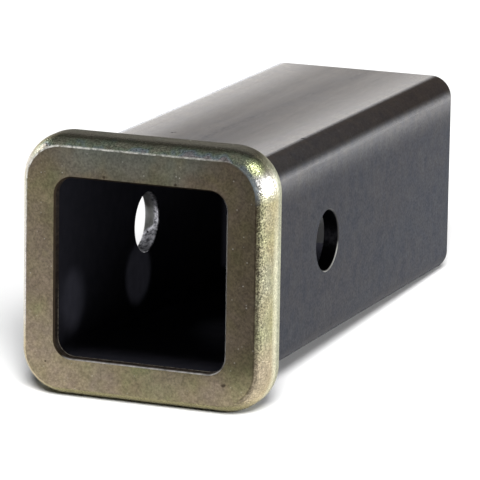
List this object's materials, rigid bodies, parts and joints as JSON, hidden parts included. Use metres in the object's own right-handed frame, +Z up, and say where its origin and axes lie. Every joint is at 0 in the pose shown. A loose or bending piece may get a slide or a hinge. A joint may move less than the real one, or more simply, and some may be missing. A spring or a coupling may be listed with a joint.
{
  "type": "receiver tube",
  "caption": "Short square steel receiver tube with a crowned, flat-faced collar welded round its mouth and a cross-pin hole through both side walls.",
  "frame": {"origin": "centre of the cross-pin hole, on the tube's axis", "axes": "+X along the cross-pin hole, +Y from the collar into the tube, +Z up"},
  "size_m": [0.0776, 0.1778, 0.0776],
  "materials": {
    "tube_steel": "bare mill-finish steel with a drawn grain along its length",
    "collar_zinc": "satin yellow zinc plate with faint iridescence",
    "weld_metal": "rippled as-welded bead"
  },
  "bodies": {
    "root": {"receiver_tube": "tube_steel", "collar": "collar_zinc", "collar_weld": "weld_metal"}
  },
  "joints": []
}
